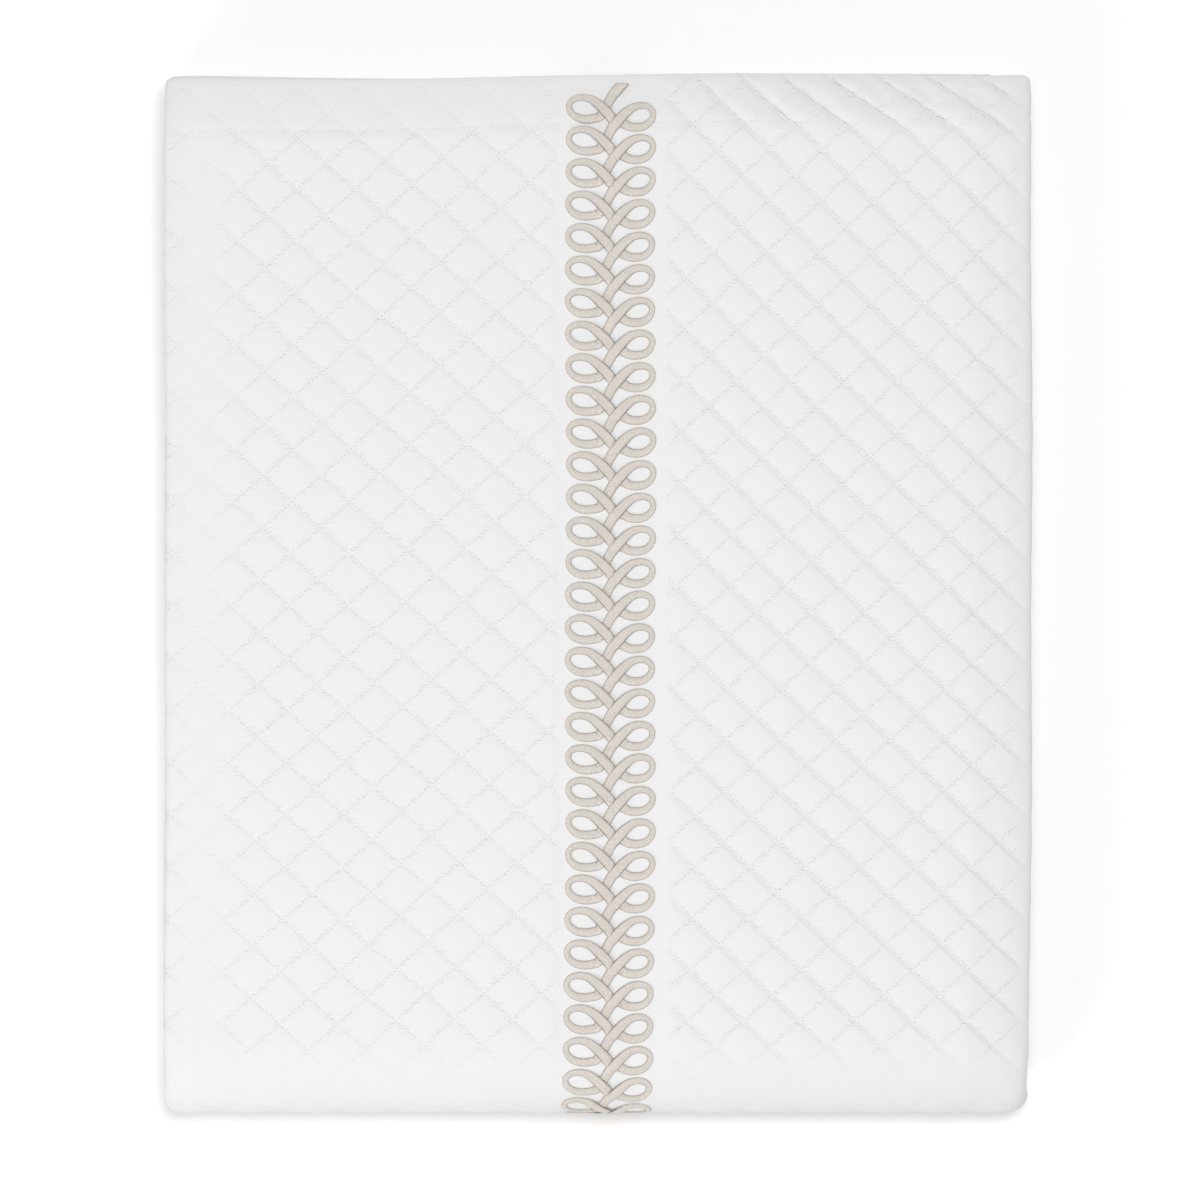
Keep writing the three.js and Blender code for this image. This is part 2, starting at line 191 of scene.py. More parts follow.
@dataclass
class Settling:
    """How the stack settles, in steps that each move points one way, so layers never cross."""

    width: float
    depth: float
    # The middle stands up by a share of the height, which varies and falls off to both sides
    crown: float = 0.055
    uneven: float = 0.12
    crown_left: float = 18.0
    crown_right: float = 46.0
    # Both sides sink by a share of the height
    drop_left: float = 0.022
    drop_right: float = 0.05
    # The top run's end hangs, more towards its hem, where it lies above a height
    droop: float = 12.0
    droop_length: float = 42.0
    droop_power: float = 1.6
    hang_from: float = 31.0
    # Corners are rounded within a distance from the side, and pulled in
    corner: float = 6.0
    corner_pull: float = 1.8
    # Layers drift sideways in long waves and in short ones, and their back edges wave
    drift: float = 1.0
    ripple: float = 0.4
    hem_wave: float = 1.1
    # The top hem lies in at the left and out at the right, and the right front corner lies in
    hem_dip: float = 1.5
    hem_bulge: float = 0.6
    narrowing: float = 1.1

    def place(self, x: Array, y: Array, z: Array) -> Array:
        """Settled places: strips drift sideways, the middle crowns, the hem droops.

        Across, a sum of sines of y and z is added. Along, the corners are pulled in and the back
        edges wave. The height grows by the crown's share, which rises smoothly from both sides, and
        the top hem sinks by the droop times a power of the length beyond where it starts to hang.

        Args:
            x: Places across.
            y: Places along.
            z: Heights.

        Returns:
            An array with one row of x, y and z for each point.
        """
        half = self.width / 2.0
        drift = self.drift * np.sin(z / 7.3 + y / 210.0) + self.ripple * np.sin(y / 37.0 + z / 11.0)
        narrowed = x - self.narrowing * smooth((x - 100.0) / 170.0) * smooth((-y - 200.0) / 120.0)

        left = 1.0 - smooth((x + half) / self.corner)
        right = 1.0 - smooth((half - x) / self.corner)
        endness = smooth((np.abs(y) - 200.0) / 120.0)
        corner = self.corner_pull * (left**2 + right**2) * endness * np.sign(y)
        wave = self.hem_wave * smooth((y + 60.0) / 330.0) * np.sin(z / 4.6 + x / 95.0)
        dip = self.hem_dip * np.exp(-(((x + 140.0) / 95.0) ** 2)) - self.hem_bulge * smooth(x / 90.0)
        wave = wave - dip * smooth((y - 150.0) / 170.0)

        crown = smooth((x + half) / self.crown_left) * smooth((half - x) / self.crown_right)
        varied = 1.0 + self.uneven * np.sin(x / 88.0 + 0.7) * np.cos(y / 121.0)
        lowered = np.where(x < 0.0, self.drop_left, self.drop_right) * (1.0 - crown)
        raised = z * (1.0 + self.crown * crown * varied - lowered)
        beyond = np.maximum(0.0, y - (self.depth / 2.0 - self.droop_length)) / self.droop_length
        droop = self.droop * (1.0 + 0.14 * np.tanh(x / 120.0)) * smooth((z - self.hang_from) / 15.0)
        drooped = raised - droop * beyond**self.droop_power
        return np.stack([narrowed + drift, y - corner + wave, drooped], axis=-1)


@dataclass(frozen=True)
class Panel:
    """One quilted panel's lattice of stitch lines, in the flat cloth.

    Args:
        node_x: Place across of a column of crossings, at the middle of the length.
        node_t: Length from the hem of a crossing in that column.
        across: Width of a diamond.
        down: Height of a diamond.
        lean: Shift to the left for each millimetre down.
        fan: Widening of a diamond for each millimetre down.
    """

    node_x: float
    node_t: float
    across: float
    down: float
    lean: float
    fan: float = 0.0


@dataclass
class Quilting:
    """Diamond quilting: stitch lines in two families, with a pillow in each diamond."""

    left: Panel
    right: Panel
    # Sides of the plain band under the border, and the distance over which the quilting starts
    band_left: float = -23.5
    band_right: float = 41.3
    band_fade: float = 5.0
    # Length from the hem at which the panels' node_x and across hold
    middle_t: float = 328.0
    # How far the crossings beside the border lie higher than at the left side
    left_rise: float = 3.2
    # Heights of a pillow and of the ridge across it
    pillow: float = 1.45
    facet: float = 0.55
    # Power of the sine, below 1 for full pillows with narrow grooves, and one for a steep side
    crown_power: float = 0.5
    skew: float = 0.88
    # Share of the height that the left panel has
    left_flat: float = 0.66
    # Share by which the other family is the deeper one, at the lower left
    turned_most: float = 0.65
    # Height of the folds in the gathered hem band, and the share of its length that they take up
    gather_height: float = 2.7
    gathered: float = 0.5
    # Length from which the quilting is pulled flat above the front bend, and over which it is
    smooth_from: float = 600.0
    smooth_over: float = 50.0

    def hem_gather(self, x: Array, t: Array) -> Array:
        """Share by which the hem band is gathered, from 0 at the border to 1 at the right."""
        return smooth((x - 40.0) / 80.0) * smooth((41.0 - t) / 12.0) * smooth((276.0 - x) / 20.0)

    def on_bends(self, t: Array) -> Array:
        """Share by which the lines show again round the front bend and round the back bend."""
        front = smooth((t - 655.0) / 15.0) * smooth((745.0 - t) / 20.0)
        back = smooth((t - 1325.0) / 8.0) * smooth((1390.0 - t) / 8.0)
        return front + back

    def turned(self, x: Array, t: Array) -> Array:
        """Share by which the other family is the deeper one, most at the lower left."""
        return self.turned_most * smooth((t - 200.0) / 250.0) * smooth((-40.0 - x) / 90.0)

    def flattened(self, x: Array, t: Array) -> Array:
        """Share of the quilting that is left at both sides, in the left hem and near the bends.

        Args:
            x: Places across on the face.
            t: Lengths from the hem.

        Returns:
            1 less the most that one of four soft steps takes away.
        """
        fold = 0.6 * np.exp(-(((x + 252.0) / 17.0) ** 2))
        hem = 0.55 * smooth((36.0 - t) / 6.0) * smooth((10.0 - x) / 60.0)
        below = 0.85 * smooth((t - self.smooth_from) / self.smooth_over)
        below = below * (1.0 - 0.6 * self.on_bends(t))
        spine = 0.7 * smooth((x - 258.0) / 16.0)
        return 1.0 - np.maximum(np.maximum(fold, hem), np.maximum(below, spine))

    def lattice(self, x: Array, t: Array) -> tuple:
        """Lattice coordinates: each family's stitch lines are whole numbers of one of them.

        The column is the place across over a diamond's width and the row the length over its
        height. Their sum and their difference are the coordinates of the two families.

        Args:
            x: Places across on the face.
            t: Lengths from the hem.

        Returns:
            Coordinates of both families, and the quilting's share, 0 in the plain band.
        """
        t = t - self.gathered * smooth((x - 50.0) / 110.0) * np.maximum(0.0, 38.0 - t)
        on_left = x < (self.band_left + self.band_right) / 2.0
        sides = zip(astuple(self.left), astuple(self.right))
        node_x, node_t, across, down, lean, fan = (np.where(on_left, *pair) for pair in sides)
        below = t - self.middle_t
        column = (x - node_x + lean * below) / (across + fan * below)
        rise = np.where(on_left, self.left_rise * smooth((x + 165.0) / 60.0), 0.0)
        row = (t - node_t + rise) / down
        outside = np.maximum(self.band_left - x, x - self.band_right)
        share = smooth(outside / self.band_fade) * self.flattened(x, t)
        return column + row, column - row, share

    def height(self, x: Array, t: Array) -> Array:
        """Height of the pillows: |sine| of each lattice coordinate, raised to a power.

        The family that falls to the right is deeper, most of all in the gathered hem band, and the
        left panel is flatter. A low ridge crosses each pillow.

        Args:
            x: Places across on the face.
            t: Lengths from the hem.

        Returns:
            Heights above the plain cloth.
        """
        first, second, share = self.lattice(x, t)
        up = np.abs(np.sin(np.pi * first)) ** self.crown_power
        down = np.abs(np.sin(np.pi * (second % 1.0) ** self.skew)) ** self.crown_power
        turned = self.turned(x, t)
        raised = (1.0 - turned) * down * (0.7 + 0.3 * up) + turned * up * (0.7 + 0.3 * down)
        aside = (first % 1.0 + second % 1.0 - 1.0) / 2.0
        ridge = self.facet * (1.0 - 2.0 * np.sqrt(aside**2 + 0.002)) * up * down
        panel = self.left_flat + (1.0 - self.left_flat) * smooth((x - self.band_left) / 40.0)
        pulled = self.hem_gather(x, t) * self.gather_height * (down - 0.55)
        return share * (panel * (self.pillow * raised + ridge) + pulled)


@dataclass(frozen=True)
class Crease:
    """A soft trough or ridge on the top run.

    Args:
        x: Middle, across.
        y: Middle, along, upwards in the view from above.
        angle: Direction in degrees, anticlockwise from +X.
        length: Half length at which it has faded.
        width: Half width at which it has faded.
        depth: Height, negative in a trough.
    """

    x: float
    y: float
    angle: float
    length: float
    width: float
    depth: float

    def height(self, x: Array, y: Array) -> Array:
        """Height of the crease, a bell along and across it.

        Args:
            x: Places across.
            y: Places along.

        Returns:
            Heights, highest or deepest at its middle.
        """
        turn = np.radians(self.angle)
        along = (x - self.x) * np.cos(turn) + (y - self.y) * np.sin(turn)
        across = -(x - self.x) * np.sin(turn) + (y - self.y) * np.cos(turn)
        return self.depth * np.exp(-2.0 * ((along / self.length) ** 2 + (across / self.width) ** 2))


@dataclass
class FoldedStack:
    """The stack's folds and the map from the flat cloth to its place."""

    width: float = 550.0
    depth: float = 660.3
    thickness: float = 3.0
    # Gaps between the four layers of the folded strip and between its four runs
    layer_gap: float = 0.9
    run_gap: float = 1.2
    # How far the fold at the right and the front bend bulge
    spine_reach: float = 16.0
    front_reach: float = 40.7
    shift_y: float = 0.2
    # How far the side quarters' hems, the back bend and the last hem stay short of the folds round
    # them, and how far the inner bend reaches into the front bend
    quarter_short: float = 8.0
    back_short: float = 2.0
    hem_short: float = 48.0
    inner_reach: float = 9.0
    # The plain band, and the depth to which it is pressed in where the stack rests on its border
    band_middle: float = 8.9
    band_half: float = 38.0
    pressed_in: float = 1.1
    settling: Settling = field(init=False)
    across: FoldLine = field(init=False)
    along: FoldLine = field(init=False)

    def __post_init__(self) -> None:
        """Works the fold lines out from the sizes."""
        pitch = self.thickness + self.layer_gap
        self.half = self.thickness / 2.0
        self.strip_half = 1.5 * pitch + self.half
        self.left_x = -self.width / 2.0 + self.half + pitch / 2.0
        self.spine_x = self.width / 2.0 - self.half - self.spine_reach
        self.back_y = self.depth / 2.0
        self.settling = Settling(self.width, self.depth)
        self.across = self.width_folds(pitch)
        self.along = self.length_folds()
        self.face_start, self.face_end = self.across.span("face")
        self.front_end = self.along.span("front bend")[1]

    def width_folds(self, pitch: float) -> FoldLine:
        """Folds across the width: side quarters in to the middle, then the whole in half.

        Args:
            pitch: Distance from layer to layer.

        Returns:
            The fold line from the left side's hem to the right side's.
        """
        first, second, third, fourth = (1.5 * pitch, 0.5 * pitch, -0.5 * pitch, -1.5 * pitch)
        left, spine, free = self.left_x, self.spine_x, self.spine_x - self.quarter_short
        rows = [
            Stretch("left quarter", free, left, second, second),
            Stretch("upper left fold", left, left, second, first, -1, pitch / 2.0, 6),
            Stretch("face", left, spine, first, first),
            Stretch("spine", spine, spine, first, fourth, 1, self.spine_reach, 16),
            Stretch("back", spine, left, fourth, fourth),
            Stretch("lower left fold", left, left, fourth, third, -1, pitch / 2.0, 6),
            Stretch("right quarter", left, free, third, third),
        ]
        return FoldLine(rows, Turn.LEFT, 0.0)

    def length_folds(self) -> FoldLine:
        """Folds along the length: the strip in half, and in half again.

        Returns:
            The fold line from the top run's hem to the hem inside.
        """
        radius = self.strip_half + self.run_gap / 2.0
        bottom = self.strip_half
        third = bottom + 2.0 * radius
        second = third + 2.0 * radius
        top = second + 2.0 * self.strip_half + self.run_gap
        front = -self.depth / 2.0 + self.strip_half + self.front_reach
        inner = front - self.inner_reach
        back = self.back_y - self.strip_half - radius - self.back_short
        rows = [
            Stretch("top run", self.back_y, front, top, top),
            Stretch("front bend", front, front, top, bottom, -1, self.front_reach, 14),
            Stretch("bottom run", front, back, bottom, bottom),
            Stretch("back bend", back, back, bottom, third, 1, radius, 10),
            Stretch("third run", back, inner, third, third),
            Stretch("inner bend", inner, inner, third, second, -1, radius, 8),
            Stretch("second run", inner, self.back_y - self.hem_short, second, second),
        ]
        return FoldLine(rows, Turn.RIGHT, self.strip_half)

    def face_x(self, s: Array) -> Array:
        """Place across of a length across, as if the face went on flat."""
        return self.left_x + (s - self.face_start)

    def face_s(self, x: Array) -> Array:
        """Length across of a place on the face, the other way round from face_x."""
        return self.face_start + (x - self.left_x)

    def place(self, s: Array, t: Array, offset: Array) -> Array:
        """Places of the cloth's points, in millimetres.

        The section across gives a place and a height in the strip, and the line along carries
        that height along its normal.

        Args:
            s: Lengths across the cloth.
            t: Lengths along the cloth, from the hem.
            offset: Distances from the cloth's middle, towards its good face.

        Returns:
            An array with one row of x, y and z for each point.
        """
        x, height, _, _ = self.across.at(s, offset)
        y, z, _, _ = self.along.at(t, height)
        placed = self.settling.place(x, y, z)
        placed[..., 1] += self.shift_y
        return placed

    def exposure(self, s: Array, t: Array) -> Array:
        """Share of the quilting's relief: 1 outside the stack, 0 between layers.

        Args:
            s: Lengths across the cloth.
            t: Lengths along the cloth.

        Returns:
            The shares, which change softly round the folds.
        """
        _, _, side, up = self.across.at(s, 0.0)
        on_face = (s >= self.face_start) & (s <= self.face_end)
        outer_fold = smooth(1.5 * np.abs(side))
        top_fold = np.maximum(outer_fold, np.where(s >= self.face_end, smooth(up), 0.0))
        bend = self.along.share(t, "front bend")
        back = self.along.share(t, "back bend")
        upper = smooth((0.97 - bend) / 0.3)
        rear = np.where((back > 0.0) & (back < 1.0), np.sin(np.pi * np.clip(back, 0.0, 1.0)), 0.0)
        outside = np.maximum(upper, rear)
        low_fold = 0.7 * smooth((np.abs(side) - 0.62) / 0.38)
        folds = np.where(bend < 0.6, top_fold, low_fold)
        return np.where(on_face, outside, folds)

    def resting(self, t: Array) -> Array:
        """Share by which the stack rests on the good face, between the front and back bends."""
        after = smooth((self.along.share(t, "front bend") - 0.55) / 0.35)
        return after * (1.0 - smooth(self.along.share(t, "back bend") / 0.3))

    def recess(self, x: Array, t: Array) -> Array:
        """Depth to which the plain band is pressed in where the stack rests on its border."""
        in_band = smooth((self.band_half - np.abs(x - self.band_middle)) / 5.0)
        return self.pressed_in * in_band * self.resting(t)


class MeshBuilder:
    """Joins grids and strips of faces into one mesh, with flat coordinates for each point."""

    def __init__(self) -> None:
        """Starts empty."""
        self.places: list[Array] = []
        self.flats: list[Array] = []
        self.triangles: list[Array] = []
        self.quads: list[Array] = []
        self.count = 0

    def points(self, places: Array, flat: Array) -> Array:
        """Adds points.

        Args:
            places: Places in millimetres, any grid of them.
            flat: Two flat coordinates for each point, in millimetres.

        Returns:
            The points' numbers, in the grid's shape.
        """
        shape = places.shape[:-1]
        self.places.append(places.reshape(-1, 3))
        self.flats.append(flat.reshape(-1, 2))
        numbers = np.arange(self.count, self.count + int(np.prod(shape))).reshape(shape)
        self.count += numbers.size
        return numbers

    def grid(self, numbers: Array) -> None:
        """Adds the four-sided faces of a grid of points."""
        corners = (numbers[:-1, :-1], numbers[:-1, 1:], numbers[1:, 1:], numbers[1:, :-1])
        self.quads.append(np.stack(corners, axis=-1).reshape(-1, 4))

    def strip(self, first: Array, first_at: Array, second: Array, second_at: Array) -> None:
        """Adds triangles between two lines of points that run side by side.

        The steps of both lines are taken in the order of their positions, and each step makes one
        triangle with the last point reached on the other line.

        Args:
            first: Numbers of one line's points.
            first_at: Their positions along the lines.
            second: Numbers of the other line's points.
            second_at: Their positions.
        """
        steps = np.concatenate([first_at[1:], second_at[1:]])
        own = np.concatenate([np.ones(len(first) - 1, bool), np.zeros(len(second) - 1, bool)])
        own = own[np.argsort(steps, kind="stable")]
        i = np.concatenate([[0], np.cumsum(own)[:-1]])
        j = np.concatenate([[0], np.cumsum(~own)[:-1]])
        next_i = first[np.minimum(i + 1, len(first) - 1)]
        next_j = second[np.minimum(j + 1, len(second) - 1)]
        self.triangles.append(np.column_stack([first[i], np.where(own, next_i, next_j), second[j]]))

    def fan(self, ring: Array) -> None:
        """Closes a ring of points with triangles from its first point."""
        first = np.full(len(ring) - 2, ring[0])
        self.triangles.append(np.column_stack([first, ring[1:-1], ring[2:]]))

    def build(self, name: str, uv_name: str) -> Object:
        """Makes the mesh object, smooth, in metres, with its faces pointing out.

        Args:
            name: The object's name.
            uv_name: Name of the UV map that holds the flat coordinates, in metres.

        Returns:
            The object, linked into the scene.
        """
        mesh = bpy.data.meshes.new(name)
        places = np.concatenate(self.places) * MM
        quads = np.concatenate(self.quads).ravel()
        triangles = np.concatenate(self.triangles).ravel()
        loops = np.concatenate([quads, triangles])
        sizes = np.concatenate([np.full(len(quads) // 4, 4), np.full(len(triangles) // 3, 3)])
        mesh.vertices.add(len(places))
        mesh.vertices.foreach_set("co", places.ravel())
        mesh.loops.add(len(loops))
        mesh.loops.foreach_set("vertex_index", loops.astype(np.int32))
        mesh.polygons.add(len(sizes))
        starts = np.concatenate([[0], np.cumsum(sizes)[:-1]])
        mesh.polygons.foreach_set("loop_start", starts.astype(np.int32))
        mesh.update(calc_edges=True)
        mesh.validate()
        self.turn_out(mesh)
        self.write_uv(mesh, uv_name)
        mesh.polygons.foreach_set("use_smooth", np.ones(len(mesh.polygons), bool))
        obj = bpy.data.objects.new(name, mesh)
        bpy.context.scene.collection.objects.link(obj)
        return obj

    @staticmethod
    def turn_out(mesh: Mesh) -> None:
        """Makes all faces of a closed mesh point outwards, and reports it.

        Args:
            mesh: The mesh, changed in place.
        """
        work = bmesh.new()
        work.from_mesh(mesh)
        bmesh.ops.recalc_face_normals(work, faces=work.faces)
        open_edges = sum(1 for edge in work.edges if len(edge.link_faces) != 2)
        log.info("%s: %d faces, %d open edges", mesh.name, len(work.faces), open_edges)
        work.to_mesh(mesh)
        work.free()

    def write_uv(self, mesh: Mesh, uv_name: str) -> None:
        """Writes the flat coordinates, in metres, into a UV map.

        Args:
            mesh: The mesh.
            uv_name: Name of the new map.
        """
        flat = np.concatenate(self.flats) * MM
        vertex = np.zeros(len(mesh.loops), np.int32)
        mesh.loops.foreach_get("vertex_index", vertex)
        layer = mesh.uv_layers.new(name=uv_name)
        layer.data.foreach_set("uv", flat[vertex].ravel())


def point_values(mesh: Mesh, name: str, values: Array) -> None:
    """Stores three numbers for each point of a mesh as an attribute."""
    attribute = mesh.attributes.new(name, "FLOAT_VECTOR", "POINT")
    attribute.data.foreach_set("vector", values.astype(np.float32).ravel())


@dataclass
class CoverletCloth:
    """The quilted cloth, one closed sheet of double cotton with a hem."""

    stack: FoldedStack
    quilting: Quilting
    creases: list[Crease]
    # Spacing of points where the good face shows, and of rows and columns on hidden runs
    cell: float = 2.75
    hidden_row: float = 9.0
    hidden_column: float = 90.0
    # Distances from a fold at which a hidden run has more columns
    near_folds: tuple[float, ...] = (12.0, 24.0, 38.0)
    # Spacing of the wrong side's rows, which stand closer under the hanging hem
    wrong_row: float = 60.0
    droop_row: float = 6.0
    droop_end: float = 55.0
    # Distance of the hem's stitches from the edge, and the depth of the groove along them
    hem_line_left: float = 35.0
    hem_groove: float = 0.7
    # Sides of the half-round edge
    rim_sides: int = 6

    def hem_line(self, x: Array) -> Array:
        """Distance of the hem's stitches from the edge, less towards the right."""
        return self.hem_line_left - 3.5 * smooth((x + 270.0) / 400.0) - 4.5 * smooth((x - 150.0) / 100.0)

    def relief(self, s: Array, t: Array) -> Array:
        """Height of the good face over the plain cloth: pillows, creases, hem and recess.

        Args:
            s: Lengths across the cloth.
            t: Lengths along the cloth.

        Returns:
            The heights.
        """
        x = self.stack.face_x(s)
        y = self.stack.back_y - t
        pillows = self.quilting.height(x, t) * smooth(t / 5.0)
        hem = -self.hem_groove * np.exp(-(((t - self.hem_line(x)) / 1.6) ** 2))
        on_top = (s > self.stack.face_start) & (s < self.stack.face_end + 12.0) & (y > -290.0)
        creases = np.where(on_top, sum(crease.height(x, y) for crease in self.creases), 0.0)
        return self.stack.exposure(s, t) * (pillows + hem) + creases - self.stack.recess(x, t)

    def hidden_columns(self) -> Array:
        """Lengths across of the hidden runs' columns."""
        return self.stack.across.coarse(self.hidden_column, self.near_folds)

    def fine_stations(self) -> tuple[Array, Array]:
        """Stations of the fine grid, which covers the top and the front bend.

        Returns:
            Lengths across and lengths along.
        """
        low, high = self.stack.face_start, self.stack.face_end
        coarse = self.hidden_columns()
        face = np.linspace(low, high, round((high - low) / self.cell) + 1)
        end = self.stack.front_end
        rows = np.linspace(self.stack.half, end, round(end / self.cell) + 1)
        return np.concatenate([coarse[coarse < low - 0.01], face, coarse[coarse > high + 0.01]]), rows

    def hidden_parts(self) -> list[tuple[Array, Array]]:
        """Stations beyond the front bend: coarse runs, and a fine grid round the back.

        Returns:
            Columns and rows of each part.
        """
        coarse = self.hidden_columns()
        rows = self.stack.along.coarse(self.hidden_row)
        rows = rows[rows > self.stack.front_end + 1.0]
        start, end = self.stack.along.span("back bend")
        round_back = np.linspace(start, end, round((end - start) / self.cell) + 1)
        return [(coarse, rows[rows < start - 1.0]), (self.fine_stations()[0], round_back),
                (coarse, rows[rows > end + 1.0])]

    def lay(self, builder: MeshBuilder, columns: Array, rows: Array, lift: float | Array) -> Array:
        """Adds a grid of the cloth's points, with the relief where it lies on the good face.

        Args:
            builder: The mesh.
            columns: Lengths across.
            rows: Lengths along.
            lift: Distance of all rows, or of each, from the cloth's middle.

        Returns:
            The points' numbers by column and row.
        """
        s, t = np.meshgrid(columns, rows, indexing="ij")
        offset = lift + self.relief(s, t) * smooth((lift / self.stack.half - 0.4) / 0.6)
        flat = np.stack([self.stack.face_x(s), t], axis=-1)
        numbers = builder.points(self.stack.place(s, t, offset), flat)
        builder.grid(numbers)
        return numbers

    def build(self) -> Object:
        """Builds the sheet: good face from the hem through the folds, wrong side and edges.

        Returns:
            The cloth's mesh object.
        """
        builder, half = MeshBuilder(), self.stack.half
        columns, rows = self.fine_stations()
        angle = np.linspace(np.pi, 0.0, self.rim_sides, endpoint=False)
        lift = np.concatenate([half * np.cos(angle), np.full(len(rows), half)])
        outer = self.lay(builder, columns, np.concatenate([half * (1.0 - np.sin(angle)), rows]), lift)

        good, good_at = [outer[:, self.rim_sides:]], [rows]
        last, last_at = outer[:, -1], columns
        for part_columns, part_rows in self.hidden_parts():
            part = self.lay(builder, part_columns, part_rows, half)
            builder.strip(last, last_at, part[:, 0], part_columns)
            last, last_at = part[:, -1], part_columns
            good.append(part)
            good_at.append(part_rows)

        coarse = self.hidden_columns()
        wrong = self.stack.along.coarse(self.wrong_row)
        close = np.arange(self.droop_row, self.droop_end, self.droop_row)
        wrong = np.concatenate([close, wrong[wrong > self.droop_end]])
        inner = self.lay(builder, coarse, wrong, -half)
        builder.strip(outer[:, 0], columns, inner[:, 0], coarse)
        builder.strip(last, coarse, inner[:, -1], coarse)
        face_at = np.concatenate(good_at)
        wrong_at = np.concatenate([[half], wrong])
        face_at[-1] = wrong_at[-1] = self.stack.along.ends[-1]
        for edge in (0, -1):
            face_side = np.concatenate([part[edge] for part in good])
            builder.strip(face_side, face_at, np.concatenate([outer[edge, :1], inner[edge]]), wrong_at)
            builder.fan(outer[edge, :self.rim_sides + 1])
        cloth = builder.build("coverlet_cloth", "flat")
        self.store_values(cloth.data, *np.concatenate(builder.flats).T)
        return cloth

    def store_values(self, mesh: Mesh, x: Array, t: Array) -> None:
        """Stores what the finish needs at each point: lattice, families' shares and hem.

        Args:
            mesh: The cloth's mesh.
            x: Places across on the face.
            t: Lengths from the hem.
        """
        first, second, share = self.quilting.lattice(x, t)
        point_values(mesh, "lattice", np.column_stack([first, second, share]))
        faint = share * (1.0 - 0.75 * self.quilting.hem_gather(x, t))
        tuck = share * (0.55 + 0.45 * smooth((x - 30.0) / 60.0) + 0.35 * smooth((x - 180.0) / 80.0))
        tuck = tuck * (1.0 - self.quilting.turned(x, t))
        point_values(mesh, "families", np.column_stack([faint, share, tuck]))
        inside = smooth((268.0 - np.abs(x)) / 8.0)
        point_values(mesh, "hem", np.column_stack([t - self.hem_line(x), x, inside]))


